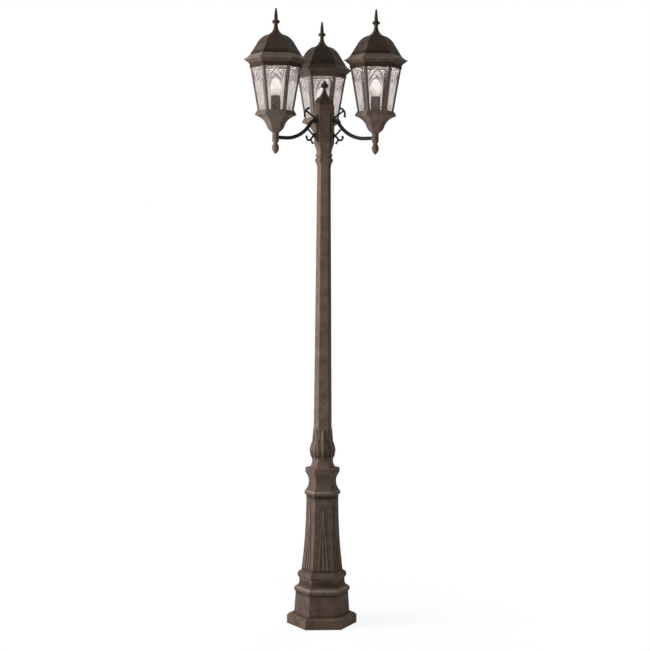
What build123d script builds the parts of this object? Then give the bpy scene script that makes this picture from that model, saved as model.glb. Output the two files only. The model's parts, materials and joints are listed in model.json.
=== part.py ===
from build123d import *
import os
from math import cos, sin, radians, sqrt

# Three-light garden lamp post: a hexagonal cast post with three hexagonal lanterns on scrolled arms.
os.makedirs("parts", exist_ok=True)

# Driving dimensions, in millimetres and degrees.
# A "half" is half of a hexagon's width across its flats. The hexagons have two flats square to Y.
# Each height belongs to one stretch, and the stretches are stacked from the ground up.
# A "swell" or "hollow" is how far an arc stands proud of, or sinks below, its chord.

# Base casting: foot
foot_half = 117.0
foot_height = 40.0
foot_chamfer = 8.0
foot_wall = 8.0
foot_deck = 10.0
bolt_circle = 204.0
bolt_hole = 9.0
bolt_boss = 20.0

# Base casting: plinth, mouldings, fluted column and top slab
plinth_half = 93.0
plinth_top_half = 88.0
plinth_height = 84.0
plinth_bead_height = 23.0
plinth_bead_swell = 5.8
cove_half = 76.0
cove_height = 16.0
cove_hollow = 3.0
neck_height = 15.0
torus_height = 30.0
torus_swell = 9.4
column_foot_half = 69.3
column_top_half = 53.6
column_height = 291.0
column_hollow = 4.2
ring_height = 20.0
ring_swell = 5.2
waist_half = 56.5
waist_height = 68.0
waist_hollow = 10.9
slab_half = 57.3
slab_height = 19.0
base_wall = 6.5

# Lancet reeds in relief on the six faces of the column
reed_relief = 3.0
reed_width = 6.0
reed_spread = 17.0
reed_foot_gap = 11.0
reed_height = 236.0
reed_tip_width = 2.4

# Pole, its spigot on the base and the leaf collar that hides the joint
pole_foot_half = 31.0
pole_top_half = 22.1
pole_height = 1187.0
pole_wall = 3.6
joint_gap = 0.2
spigot_length = 70.0
spigot_wall = 4.0
collar_foot_half = 43.0
collar_foot_height = 33.0
collar_foot_hollow = 2.6
collar_neck_half = 35.0
bulb_half = 37.5
bulb_height = 70.0
collar_sleeve = 1.2
collar_sleeve_height = 50.0
petal_count = 8
petal_ridge = 3.4
petal_root = 13.5
petal_foot_gap = 2.0
petal_foot_reach = 41.5
petal_foot_width = 24.0
petal_cup_rise = 13.0
petal_cup_reach = 46.6
petal_cup_width = 32.0
petal_belly_rise = 34.0
petal_belly_reach = 50.2
petal_belly_width = 36.0
petal_crown_rise = 51.0
petal_crown_reach = 46.8
petal_crown_width = 31.0
petal_neck_reach = 40.2
petal_neck_width = 22.0
petal_tip_reach = 36.4
petal_tip_width = 3.0
petal_tip_gap = 3.0

# Capital round the top of the pole
capital_half = 29.5
capital_cove_height = 22.0
capital_cove_hollow = 2.2
capital_band_height = 9.0
capital_top_half = 24.6
capital_top_height = 6.0
capital_sleeve = 1.0

# Hub that carries the arms
hub_foot_half = 24.4
hub_bead_height = 17.0
hub_bead_swell = 3.6
hub_flare_height = 36.0
hub_flare_hollow = 1.2
hub_half = 33.6
hub_body_height = 140.0
hub_top_half = 29.5
hub_top_height = 16.0
hub_wall = 4.0
hub_floor = 8.0
hub_spigot_length = 78.0
hub_spigot_wall = 3.2

# Hub cap and its acorn finial
cap_lip = 1.2
cap_band_height = 5.0
cap_shoulder_half = 24.0
cap_shoulder_height = 10.0
cap_neck_half = 5.4
cap_cone_height = 34.0
cap_cone_hollow = 4.5
cap_wall = 3.0
cap_plug_depth = 8.0
cap_plug_taper = 4.0
acorn_neck_radius = 4.6
acorn_neck_height = 5.0
acorn_radius = 13.8
acorn_height = 18.0
acorn_knob_radius = 5.2
acorn_knob_height = 9.0
acorn_pin_radius = 2.5
acorn_pin_length = 12.0

# Arms: a hollow S-bend from the hub to the knuckle below each lantern
arm_reach = 215.5
arm_entry_height = 85.0
arm_stub = 10.0
arm_elbow = 22.0
arm_bend = 127.0
arm_turn = 58.0
arm_diameter = 14.0
arm_bore = 9.0
knuckle_radius = 12.6
knuckle_height = 32.0
knuckle_bore = 15.0
knuckle_top = 6.0

# Scroll bracket between the hub and the arm
bracket_width = 16.0
bracket_thickness = 6.0
bracket_rise = 24.0
bracket_drop = 77.0
bracket_boss = 22.0
scroll_rod = 7.8
scroll_ball = 9.2
scroll_stem = 7.2
scroll_gap = 0.4
scroll_reach = 49.4
scroll_lift = 37.0
horn_back = 14.0
horn_rise = 9.0
horn_out = 4.0
horn_fall = 21.5
stem_foot = 8.0
strut_angle = 42.5
strut_foot = 66.0
hook_foot = 45.0
hook_reach = 27.4
hook_drop = 71.0
hook_tip_reach = 45.0
hook_tip_drop = 61.0
tail_back = 9.0
tail_fall = 13.5

# Lantern cup
cup_neck_half = 12.4
cup_neck_height = 3.0
cup_bowl_half = 29.0
cup_bowl_height = 23.0
cup_bowl_swell = 2.6
cup_cove_height = 38.5
cup_cove_hollow = 6.8
cup_lip_half = 66.8
cup_lip_step = 1.2
cup_lip_height = 3.0
cup_rim_half = 60.0
cup_rim_height = 15.5
cup_rim_swell = 0.6
cup_mouth_half = 49.5
cup_mouth_depth = 12.0
cup_well_half = 23.0
cup_well_depth = 55.0
cup_well_step = 8.0

# Lantern cage: corner ribs and panes
cage_foot_half = 58.5
cage_top_half = 82.3
cage_height = 158.0
rib_thickness = 3.0
rib_arm = 7.0
pane_thickness = 3.0
pane_gap = 0.3
pane_edge_gap = 0.6

# Lantern cornice ring and the strap that carries the roof stud
ledge_half = 69.0
ledge_thickness = 4.0
cornice_foot_half = 84.5
cornice_half = 101.0
cornice_height = 29.0
cornice_fillet_height = 13.0
cornice_wall = 3.4
strap_width = 16.0
strap_thickness = 2.5
strap_end_gap = 2.0
stud_radius = 3.0
stud_engagement = 16.0
strap_screw_radius = 2.0
strap_screw_head_radius = 3.6
strap_screw_head_height = 2.4
strap_screw_inset = 3.6

# Lantern roof
eave_half = 103.4
eave_lip = 2.5
flare_half = 83.5
flare_height = 16.0
flare_hollow = 1.8
slope_half = 61.0
slope_height = 41.5
shoulder_half = 34.0
shoulder_height = 31.0
shoulder_swell = 3.2
peak_half = 9.5
peak_height = 20.0
peak_hollow = 4.4
roof_crown = 1.6
roof_wall = 2.0
eave_seat = 7.5
stud_hole_gap = 1.0

# Roof finial
finial_neck_radius = 7.4
finial_foot_radius = 9.2
finial_foot_height = 4.0
finial_neck_height = 18.0
finial_neck_hollow = 1.0
finial_collar_radius = 14.6
finial_collar_height = 12.0
finial_spire_radius = 7.2
finial_spire_height = 42.0
finial_spire_swell = 0.8
finial_tip_radius = 3.2
thread_gap = 0.3

# Lamp holder, candle sleeve and lamp
nipple_radius = 5.0
nipple_bore = 6.4
nipple_grip = 8.0
lock_nut_flats = 16.0
lock_nut_height = 5.0
sleeve_radius = 17.6
sleeve_wall = 1.5
sleeve_length = 110.0
socket_radius = 15.4
socket_length = 55.0
socket_drop = 5.5
socket_base = 24.0
screw_fit = 0.05
lamp_cap_radius = 13.0
lamp_cap_length = 24.0
lamp_contact_radius = 4.5
lamp_contact_height = 3.0
lamp_foot_radius = 12.8
lamp_neck_radius = 13.8
lamp_neck_height = 12.0
lamp_radius = 19.5
lamp_belly_height = 28.0
lamp_crown_height = 34.0
lamp_crown_steps = 5
lamp_wall = 1.0
lamp_cap_gap = 0.3

# Drop finial below the knuckle
drop_flange_radius = 10.6
drop_neck_radius = 8.4
drop_neck_height = 8.0
drop_neck_hollow = 0.9
drop_radius = 12.6
drop_belly_drop = 9.0
drop_acorn_height = 36.0
drop_tip_radius = 2.4
drop_spigot_length = 8.0

# Leads and their connectors in the hub
lead_radius = 2.4
lead_park = 10.0
lead_park_bend = 9.0
lead_tail = 20.0
lead_turn = 7.0
connector_radius = 6.0
connector_tip_radius = 3.5
connector_length = 22.0
connector_grip = 8.0

# Grub screws that hold the pole to its two spigots
grub_radius = 3.0
grub_gap = 0.1
grub_sink = 0.5

# Directions of the three lanterns round the post, from the rear one
lantern_turns = {"rear": 0, "left": 120, "right": 240}

# Heights worked out from the stack
plinth_z = foot_height
bead_z = plinth_z + plinth_height
cove_z = bead_z + plinth_bead_height
neck_z = cove_z + cove_height
torus_z = neck_z + neck_height
column_z = torus_z + torus_height
ring_z = column_z + column_height
waist_z = ring_z + ring_height
slab_z = waist_z + waist_height
base_top = slab_z + slab_height
pole_top = base_top + pole_height
capital_z = pole_top - capital_cove_height - capital_band_height - capital_top_height
hub_flare_z = pole_top + hub_bead_height
hub_body_z = hub_flare_z + hub_flare_height
hub_shoulder_z = hub_body_z + hub_body_height
hub_top = hub_shoulder_z + hub_top_height
cap_top = hub_top + cap_band_height + cap_shoulder_height + cap_cone_height
arm_entry_z = hub_body_z + arm_entry_height
arm_z = arm_entry_z - (arm_elbow + arm_bend) * (1 - cos(radians(arm_turn)))
bend_start = hub_half + arm_stub + (arm_elbow + arm_bend) * sin(radians(arm_turn))
bend_center = Vector(0, bend_start, arm_z + arm_bend)
knuckle_z = arm_z - knuckle_height / 2
cup_z = knuckle_z + knuckle_height
cup_bowl_z = cup_z + cup_neck_height
cup_cove_z = cup_bowl_z + cup_bowl_height
cup_lip_z = cup_cove_z + cup_cove_height
cup_rim_z = cup_lip_z + cup_lip_height
cage_z = cup_rim_z + cup_rim_height
cup_floor_z = cage_z - cup_well_depth
cage_top = cage_z + cage_height
ledge_z = cage_top + ledge_thickness
eave_z = cage_top + cornice_height
roof_top = eave_z + eave_lip + flare_height + slope_height + shoulder_height + peak_height + roof_crown
sleeve_top = cup_floor_z + sleeve_length
socket_top = sleeve_top - socket_drop
socket_z = socket_top - socket_length
lamp_seat_z = socket_z + socket_base
lamp_cap_z = lamp_seat_z + lamp_cap_gap + lamp_contact_height
lamp_glass_z = lamp_cap_z + lamp_cap_length

# Radii worked out from their neighbours
outline_reach = 2 * foot_half
pole_taper = (pole_foot_half - pole_top_half) / pole_height
spigot_radius = pole_top_half + pole_taper * (pole_height - spigot_length) - pole_wall - joint_gap
hub_spigot_radius = pole_top_half - pole_wall - joint_gap
cable_radius = hub_spigot_radius - hub_spigot_wall
arm_hole_radius = arm_diameter / 2 + joint_gap
ball_radius = scroll_ball / 2
stem_radius = scroll_stem / 2
cornice_inner_half = cornice_foot_half - cornice_wall
strap_screw_y = ledge_half + strap_screw_inset
grub_levels = (
    (base_top + collar_foot_height, spigot_radius, collar_neck_half),
    (pole_top - capital_top_height - capital_band_height / 2, hub_spigot_radius, capital_half),
)


def pole_half_at(height):
    """Half-width of the tapered pole at a height above the ground."""
    return pole_foot_half - pole_taper * (height - base_top)


def faceted(outline):
    """Six-sided moulding: the overlap of three straight mouldings with one outline, turned 60 degrees apart."""
    with BuildPart() as moulding:
        extrude(outline.rotate(Axis.Z, 30), amount=outline_reach, both=True)
        for turn in (90, 150):
            extrude(outline.rotate(Axis.Z, turn), amount=outline_reach, both=True, mode=Mode.INTERSECT)
    return moulding.part


def pole_frustum(low, high, inset):
    """Piece of the pole's taper between two heights, with its faces moved inwards by the inset."""
    with BuildPart() as frustum:
        for height in (low, high):
            with BuildSketch(Plane.XY.offset(height)):
                RegularPolygon(pole_half_at(height) - inset, 6, major_radius=False)
        loft(ruled=True)
    return frustum.part


def cage_half_at(height):
    """Outer half-width of the leaning cage at a height above the ground."""
    share = (height - cage_z) / cage_height
    return cage_foot_half + share * (cage_top_half - cage_foot_half)


def radial_plane(turn, distance, height):
    """Plane square to a radius of the post, facing outwards, at a turn from +Y."""
    outward = Vector(0, 1, 0).rotate(Axis.Z, turn)
    return Plane(origin=outward * distance + Vector(0, 0, height), z_dir=outward)


def rod(path, radius):
    """Round bar along a path."""
    with BuildPart() as bar:
        with BuildSketch(Plane(origin=path @ 0, z_dir=path % 0)):
            Circle(radius)
        sweep(path=path)
    return bar.part


def scroll(path, radius, balls):
    """Scroll bar along a path, with balls at the given shares of its length."""
    with BuildPart() as bar:
        add(rod(path, radius))
        with Locations([path @ share for share in balls]):
            Sphere(ball_radius)
    return bar.part


def grub_holes():
    """Clear holes for the grub screws, from the spigots outwards."""
    with BuildPart() as holes:
        for turn in lantern_turns.values():
            for height, inner, outer in grub_levels:
                with BuildSketch(radial_plane(turn, inner, height)):
                    Circle(grub_radius + grub_gap)
                extrude(amount=outer)
    return holes.part


def save(piece, name):
    """Label a finished sub-part and write its file."""
    piece.part.label = name
    export_step(piece.part, f"parts/{name}.step")


# Base casting
with BuildSketch(Plane.XZ) as base_outline:
    with BuildLine():
        foot = Polyline(
            (0, 0),
            (foot_half, 0),
            (foot_half, foot_height - foot_chamfer),
            (foot_half - foot_chamfer, foot_height),
            (plinth_half, plinth_z),
            (plinth_top_half, bead_z),
        )
        bead = SagittaArc(foot @ 1, (plinth_top_half, cove_z), -plinth_bead_swell)
        cove = SagittaArc(bead @ 1, (cove_half, neck_z), cove_hollow)
        neck = Line(cove @ 1, (cove_half, torus_z))
        torus = SagittaArc(neck @ 1, (column_foot_half, column_z), -torus_swell)
        column = SagittaArc(torus @ 1, (column_top_half, ring_z), column_hollow)
        ring = SagittaArc(column @ 1, (waist_half, waist_z), -ring_swell)
        waist = SagittaArc(ring @ 1, (waist_half, slab_z), waist_hollow)
        Polyline(waist @ 1, (slab_half, slab_z), (slab_half, base_top), (0, base_top))
        mirror(about=Plane.YZ)
    make_face()

with BuildSketch(Plane.XZ) as reed_shell_outline:
    with BuildLine():
        foot_line = Line((0, column_z), (column_foot_half + reed_relief, column_z))
        face_line = SagittaArc(foot_line @ 1, (column_top_half + reed_relief, ring_z), column_hollow)
        Line(face_line @ 1, (0, ring_z))
        mirror(about=Plane.YZ)
    make_face()

with BuildPart() as reeds:
    reed_foot_z = column_z + reed_foot_gap
    with BuildSketch(Plane.XZ):
        for lean in (-1, 0, 1):
            with BuildLine():
                Polyline(
                    (lean * reed_spread - reed_width / 2, reed_foot_z),
                    (lean * reed_spread + reed_width / 2, reed_foot_z),
                    (reed_tip_width / 2, reed_foot_z + reed_height),
                    (-reed_tip_width / 2, reed_foot_z + reed_height),
                    close=True,
                )
            make_face()
            with Locations((lean * reed_spread, reed_foot_z)):
                Circle(reed_width / 2)
    extrude(amount=outline_reach)
    add(faceted(reed_shell_outline.sketch), mode=Mode.INTERSECT)

with BuildSketch(Plane.XZ) as base_hollow:
    with BuildLine():
        plinth_inner = plinth_top_half - base_wall
        lower = Polyline(
            (0, 0),
            (foot_half - foot_wall, 0),
            (foot_half - foot_wall, foot_height - foot_deck),
            (plinth_inner, foot_height - foot_deck),
            (plinth_inner, cove_z),
            (cove_half - base_wall, neck_z),
            (cove_half - base_wall, torus_z),
            (column_foot_half - base_wall, column_z),
        )
        inner_face = SagittaArc(lower @ 1, (column_top_half - base_wall, ring_z), column_hollow)
        throat_half = waist_half - waist_hollow - base_wall
        Polyline(
            inner_face @ 1,
            (throat_half, waist_z),
            (throat_half, base_top - base_wall),
            (0, base_top - base_wall),
        )
        mirror(about=Plane.YZ)
    make_face()

with BuildPart() as base_casting:
    add(faceted(base_outline.sketch))
    with PolarLocations(0, 6):
        add(reeds.part)
    add(faceted(base_hollow.sketch), mode=Mode.SUBTRACT)
    with BuildSketch():
        with PolarLocations(bolt_circle / 2, 3, start_angle=90):
            Circle(bolt_boss / 2)
    extrude(amount=foot_height - foot_deck)
    with BuildSketch():
        with PolarLocations(bolt_circle / 2, 3, start_angle=90):
            Circle(bolt_hole / 2)
    extrude(amount=foot_height, mode=Mode.SUBTRACT)
    with BuildSketch(Plane.XY.offset(base_top)):
        Circle(spigot_radius)
    extrude(amount=spigot_length)
    with BuildSketch(Plane.XY.offset(base_top - base_wall)):
        Circle(spigot_radius - spigot_wall)
    extrude(amount=base_wall + spigot_length, mode=Mode.SUBTRACT)

# Leaf collar: a six-sided foot and sleeve with a ring of ridged leaves
bulb_z = base_top + collar_foot_height
sleeve_z = bulb_z + bulb_height
collar_top = sleeve_z + collar_sleeve_height
collar_sleeve_half = pole_half_at(sleeve_z) + collar_sleeve

with BuildSketch(Plane.XZ) as collar_outline:
    with BuildLine():
        collar_base = Line((0, base_top), (collar_foot_half, base_top))
        collar_cove = SagittaArc(collar_base @ 1, (collar_neck_half, bulb_z), collar_foot_hollow)
        Polyline(
            collar_cove @ 1,
            (bulb_half, bulb_z + petal_belly_rise),
            (collar_sleeve_half, sleeve_z),
            (pole_half_at(collar_top) + collar_sleeve, collar_top),
            (0, collar_top),
        )
        mirror(about=Plane.YZ)
    make_face()

petal_sections = (
    (bulb_z + petal_foot_gap, petal_foot_reach, petal_foot_width),
    (bulb_z + petal_cup_rise, petal_cup_reach, petal_cup_width),
    (bulb_z + petal_belly_rise, petal_belly_reach, petal_belly_width),
    (bulb_z + petal_crown_rise, petal_crown_reach, petal_crown_width),
    (sleeve_z, petal_neck_reach, petal_neck_width),
    (collar_top - petal_tip_gap, petal_tip_reach, petal_tip_width),
)
with BuildPart() as petal:
    for height, reach, width in petal_sections:
        with BuildSketch(Plane.XY.offset(height)):
            with BuildLine():
                Polyline((reach, 0), (reach - petal_ridge, width / 2), (reach - petal_root, width / 2))
                Line((reach - petal_root, width / 2), (reach - petal_root, -width / 2))
                Polyline((reach - petal_root, -width / 2), (reach - petal_ridge, -width / 2), (reach, 0))
            make_face()
    loft(ruled=True)

with BuildPart() as leaf_collar:
    add(faceted(collar_outline.sketch))
    with PolarLocations(0, petal_count):
        add(petal.part)
    add(pole_frustum(base_top, collar_top, -joint_gap), mode=Mode.SUBTRACT)
    add(grub_holes(), mode=Mode.SUBTRACT)

# Pole
with BuildPart() as pole:
    add(pole_frustum(base_top, pole_top, 0))
    add(pole_frustum(base_top, pole_top, pole_wall), mode=Mode.SUBTRACT)
    add(grub_holes(), mode=Mode.SUBTRACT)

# Capital
with BuildSketch(Plane.XZ) as capital_outline:
    with BuildLine():
        capital_sleeve_half = pole_half_at(capital_z) + capital_sleeve
        capital_band_z = capital_z + capital_cove_height
        capital_base = Line((0, capital_z), (capital_sleeve_half, capital_z))
        capital_cove = SagittaArc(capital_base @ 1, (capital_half, capital_band_z), capital_cove_hollow)
        Polyline(
            capital_cove @ 1,
            (capital_half, capital_band_z + capital_band_height),
            (capital_top_half, pole_top),
            (0, pole_top),
        )
        mirror(about=Plane.YZ)
    make_face()

with BuildPart() as pole_capital:
    add(faceted(capital_outline.sketch))
    add(pole_frustum(capital_z, pole_top, -joint_gap), mode=Mode.SUBTRACT)
    add(grub_holes(), mode=Mode.SUBTRACT)

# Hub
with BuildSketch(Plane.XZ) as hub_outline:
    with BuildLine():
        hub_base = Line((0, pole_top), (hub_foot_half, pole_top))
        hub_bead = SagittaArc(hub_base @ 1, (hub_foot_half, hub_flare_z), -hub_bead_swell)
        hub_flare = SagittaArc(hub_bead @ 1, (hub_half, hub_body_z), hub_flare_hollow)
        Polyline(hub_flare @ 1, (hub_half, hub_shoulder_z), (hub_top_half, hub_top), (0, hub_top))
        mirror(about=Plane.YZ)
    make_face()

with BuildSketch(Plane.XZ) as hub_hollow:
    with BuildLine():
        Polyline(
            (0, hub_body_z + hub_floor),
            (hub_half - hub_wall, hub_body_z + hub_floor),
            (hub_half - hub_wall, hub_shoulder_z),
            (hub_top_half - hub_wall, hub_top),
            (0, hub_top),
        )
        mirror(about=Plane.YZ)
    make_face()

with BuildPart() as hub:
    add(faceted(hub_outline.sketch))
    add(faceted(hub_hollow.sketch), mode=Mode.SUBTRACT)
    with BuildSketch(Plane.XY.offset(pole_top)):
        Circle(hub_spigot_radius)
    extrude(amount=-hub_spigot_length)
    with BuildSketch(Plane.XY.offset(pole_top - hub_spigot_length)):
        Circle(cable_radius)
    extrude(amount=hub_body_z + hub_floor - pole_top + hub_spigot_length, mode=Mode.SUBTRACT)
    for turn in lantern_turns.values():
        with BuildSketch(radial_plane(turn, 0, arm_entry_z)):
            Circle(arm_hole_radius)
        extrude(amount=hub_half + hub_wall, mode=Mode.SUBTRACT)

# Hub cap
cap_half = hub_top_half + cap_lip
cap_shoulder_z = hub_top + cap_band_height + cap_shoulder_height
with BuildSketch(Plane.XZ) as cap_outline:
    with BuildLine():
        cap_base = Polyline(
            (0, hub_top),
            (cap_half, hub_top),
            (cap_half, hub_top + cap_band_height),
            (cap_shoulder_half, cap_shoulder_z),
        )
        cap_cone = SagittaArc(cap_base @ 1, (cap_neck_half, cap_top), cap_cone_hollow)
        Line(cap_cone @ 1, (0, cap_top))
        mirror(about=Plane.YZ)
    make_face()

with BuildPart() as hub_cap:
    add(faceted(cap_outline.sketch))
    with BuildSketch(Plane.XY.offset(hub_top)):
        RegularPolygon(hub_top_half - hub_wall - joint_gap, 6, major_radius=False)
    extrude(amount=-cap_plug_depth, taper=cap_plug_taper)
    with BuildSketch(Plane.XY.offset(hub_top - cap_plug_depth)):
        RegularPolygon(cap_shoulder_half - 2 * cap_wall, 6, major_radius=False)
    extrude(amount=cap_plug_depth + cap_band_height, mode=Mode.SUBTRACT)
    with BuildSketch(Plane.XY.offset(cap_top)):
        Circle(acorn_pin_radius + joint_gap)
    extrude(amount=-(acorn_pin_length + joint_gap), mode=Mode.SUBTRACT)

with BuildSketch(Plane.XZ) as acorn_outline:
    with BuildLine():
        acorn_foot_z = cap_top + acorn_neck_height
        acorn_knob_z = acorn_foot_z + acorn_height
        acorn_foot = Polyline(
            (0, cap_top - acorn_pin_length),
            (acorn_pin_radius, cap_top - acorn_pin_length),
            (acorn_pin_radius, cap_top),
            (acorn_neck_radius, cap_top),
            (acorn_neck_radius, acorn_foot_z),
        )
        acorn_body = ThreePointArc(
            acorn_foot @ 1,
            (acorn_radius, acorn_foot_z + acorn_height / 2),
            (acorn_neck_radius, acorn_knob_z),
        )
        acorn_knob = Polyline(
            acorn_body @ 1,
            (acorn_knob_radius, acorn_knob_z),
            (acorn_knob_radius, acorn_knob_z + acorn_knob_height - acorn_knob_radius),
        )
        acorn_tip = RadiusArc(acorn_knob @ 1, (0, acorn_knob_z + acorn_knob_height), -acorn_knob_radius)
        Line(acorn_tip @ 1, acorn_foot @ 0)
    make_face()

with BuildPart() as hub_finial:
    revolve(acorn_outline.sketch, axis=Axis.Z)

# Grub screws
with BuildPart() as set_screws:
    for turn in lantern_turns.values():
        for height, inner, outer in grub_levels:
            with BuildSketch(radial_plane(turn, inner, height)):
                Circle(grub_radius)
            extrude(amount=outer - grub_sink - inner)

# Arm with the knuckle that carries the lantern
with BuildLine(Plane.YZ) as arm_path:
    stub = Line((hub_half - hub_wall, arm_entry_z), (hub_half + arm_stub, arm_entry_z))
    elbow = JernArc(stub @ 1, stub % 1, arm_elbow, -arm_turn)
    bend = JernArc(elbow @ 1, elbow % 1, arm_bend, arm_turn)
    Line(bend @ 1, (arm_reach, arm_z))

with BuildPart() as arm:
    add(rod(arm_path.wire(), arm_diameter / 2))
    with BuildSketch(Plane((0, arm_reach, knuckle_z))):
        Circle(knuckle_radius)
    extrude(amount=knuckle_height)
    add(rod(arm_path.wire(), arm_bore / 2), mode=Mode.SUBTRACT)
    with BuildSketch(Plane((0, arm_reach, knuckle_z))):
        Circle(knuckle_bore / 2)
    extrude(amount=knuckle_height - knuckle_top, mode=Mode.SUBTRACT)
    with BuildSketch(Plane((0, arm_reach, cup_z))):
        Circle(nipple_radius + screw_fit)
    extrude(amount=-knuckle_top, mode=Mode.SUBTRACT)

# Scroll bracket: a pad on the hub, a boss round the arm and wrought scrolls above and below it
pad_root = hub_half + scroll_rod / 2
scroll_tip = Vector(0, hub_half + scroll_reach, arm_entry_z + scroll_lift)
strut_aim = Vector(0, -cos(radians(strut_angle)), -sin(radians(strut_angle)))
strut_tip = bend_center + strut_aim * (arm_bend + arm_diameter / 2 + ball_radius + scroll_gap)
hook_turn = Vector(0, hub_half + hook_reach, arm_entry_z - hook_drop)
hook_tip = Vector(0, hub_half + hook_tip_reach, arm_entry_z - hook_tip_drop)

with BuildLine(Plane.YZ) as stem_path:
    Line((pad_root, arm_entry_z + stem_foot), scroll_tip)
with BuildLine(Plane.YZ) as horn_path:
    ThreePointArc(
        scroll_tip + Vector(0, -horn_back, horn_rise),
        scroll_tip,
        scroll_tip + Vector(0, horn_out, -horn_fall),
    )
with BuildLine(Plane.YZ) as strut_path:
    Line((pad_root, arm_entry_z - strut_foot), strut_tip)
with BuildLine(Plane.YZ) as hook_path:
    hook_run = Line((pad_root, arm_entry_z - hook_foot), hook_turn)
    TangentArc(hook_run @ 1, hook_tip, tangent=hook_run % 1)
with BuildLine(Plane.YZ) as tail_path:
    Line(hook_turn, hook_turn - Vector(0, tail_back, tail_fall))

with BuildPart() as arm_scroll:
    with BuildSketch(Plane.XZ.offset(-hub_half)):
        with Locations((0, arm_entry_z + (bracket_rise - bracket_drop) / 2)):
            SlotOverall(bracket_rise + bracket_drop, bracket_width, rotation=90)
    extrude(amount=-bracket_thickness)
    with BuildSketch(Plane.XZ.offset(-hub_half)):
        with Locations((0, arm_entry_z)):
            Circle(bracket_boss / 2)
    extrude(amount=-arm_stub)
    add(rod(stem_path.wire(), stem_radius))
    add(scroll(horn_path.wire(), scroll_rod / 2, (0, 1)))
    add(scroll(strut_path.wire(), stem_radius, (1,)))
    add(scroll(hook_path.wire(), scroll_rod / 2, (1,)))
    add(scroll(tail_path.wire(), stem_radius, (1,)))
    with BuildSketch(Plane.XZ.offset(-hub_half)):
        with Locations((0, arm_entry_z)):
            Circle(arm_hole_radius)
    extrude(amount=-arm_stub, mode=Mode.SUBTRACT)

# Cup below the glass, turned six-sided and hollow
with BuildSketch(Plane.XZ) as cup_outline:
    with BuildLine():
        cup_neck = Polyline((0, cup_z), (cup_neck_half, cup_z), (cup_neck_half, cup_bowl_z))
        cup_bowl = SagittaArc(cup_neck @ 1, (cup_bowl_half, cup_cove_z), -cup_bowl_swell)
        cup_cove = SagittaArc(cup_bowl @ 1, (cup_lip_half - cup_lip_step, cup_lip_z), cup_cove_hollow)
        cup_lip = Polyline(cup_cove @ 1, (cup_lip_half, cup_lip_z), (cup_lip_half, cup_rim_z))
        cup_rim = SagittaArc(cup_lip @ 1, (cup_rim_half, cage_z), -cup_rim_swell)
        Line(cup_rim @ 1, (0, cage_z))
        mirror(about=Plane.YZ)
    make_face()

with BuildSketch(Plane.XZ) as cup_hollow:
    with BuildLine():
        well = Polyline((0, cup_floor_z), (cup_well_half, cup_floor_z), (cup_well_half, cup_cove_z + cup_well_step))
        well_wall = SagittaArc(well @ 1, (cup_mouth_half, cage_z - cup_mouth_depth), cup_cove_hollow)
        Polyline(well_wall @ 1, (cup_mouth_half, cage_z), (0, cage_z))
        mirror(about=Plane.YZ)
    make_face()

with BuildPart() as cup:
    add(faceted(cup_outline.sketch))
    add(faceted(cup_hollow.sketch), mode=Mode.SUBTRACT)
    with BuildSketch(Plane.XY.offset(cup_z)):
        Circle(nipple_radius + joint_gap)
    extrude(amount=cup_floor_z - cup_z, mode=Mode.SUBTRACT)

# Cage ribs: one angled bar at each corner, leaning outwards
with BuildPart() as rib:
    for height in (cage_z, cage_top):
        corner = Vector((cage_half_at(height) - rib_thickness) / cos(radians(30)), 0)
        along = Vector(-sin(radians(30)), cos(radians(30))) * rib_arm
        across = Vector(cos(radians(30)), sin(radians(30))) * rib_thickness
        with BuildSketch(Plane.XY.offset(height)):
            with BuildLine():
                nose = corner + Vector(rib_thickness / cos(radians(30)), 0)
                Polyline(corner, corner + along, corner + along + across, nose)
                mirror(about=Plane.XZ)
            make_face()
    loft(ruled=True)

with BuildPart() as cage_ribs:
    with PolarLocations(0, 6):
        add(rib.part)

# Glass panes behind the ribs
with BuildPart() as pane:
    for height in (cage_z, cage_top - pane_gap):
        pane_half = cage_half_at(height) - rib_thickness - pane_gap
        pane_width = 2 * ((pane_half - pane_thickness) / sqrt(3) - pane_edge_gap)
        with BuildSketch(Plane.XY.offset(height)):
            with Locations((0, pane_half - pane_thickness / 2)):
                Rectangle(pane_width, pane_thickness)
    loft(ruled=True)

with BuildPart() as glass_panes:
    with PolarLocations(0, 6):
        add(pane.part)

# Cornice ring on top of the cage, with an inner ledge
with BuildSketch(Plane.XZ) as cornice_outline:
    with BuildLine():
        Polyline(
            (0, cage_top),
            (cornice_foot_half, cage_top),
            (cornice_foot_half, cage_top + cornice_fillet_height),
            (cornice_half, eave_z),
            (0, eave_z),
        )
        mirror(about=Plane.YZ)
    make_face()

with BuildSketch(Plane.XZ) as cornice_hollow:
    with BuildLine():
        Polyline(
            (0, ledge_z),
            (cornice_inner_half, ledge_z),
            (cornice_inner_half, cage_top + cornice_fillet_height),
            (cornice_half - cornice_wall, eave_z),
            (0, eave_z),
        )
        mirror(about=Plane.YZ)
    make_face()

with BuildPart() as cornice_ring:
    add(faceted(cornice_outline.sketch))
    add(faceted(cornice_hollow.sketch), mode=Mode.SUBTRACT)
    with BuildSketch(Plane.XY.offset(cage_top)):
        RegularPolygon(ledge_half, 6, major_radius=False)
        with Locations((0, strap_screw_y), (0, -strap_screw_y)):
            Circle(strap_screw_radius + screw_fit)
    extrude(amount=ledge_thickness, mode=Mode.SUBTRACT)

# Strap across the ring, with the stud that holds the roof
with BuildPart() as roof_strap:
    with BuildSketch(Plane.XY.offset(ledge_z)):
        Rectangle(strap_width, 2 * (cornice_inner_half - strap_end_gap))
        with Locations((0, strap_screw_y), (0, -strap_screw_y)):
            Circle(strap_screw_radius + screw_fit, mode=Mode.SUBTRACT)
    extrude(amount=strap_thickness)
    with BuildSketch(Plane.XY.offset(ledge_z)):
        Circle(stud_radius)
    extrude(amount=roof_top + stud_engagement - ledge_z)

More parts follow.
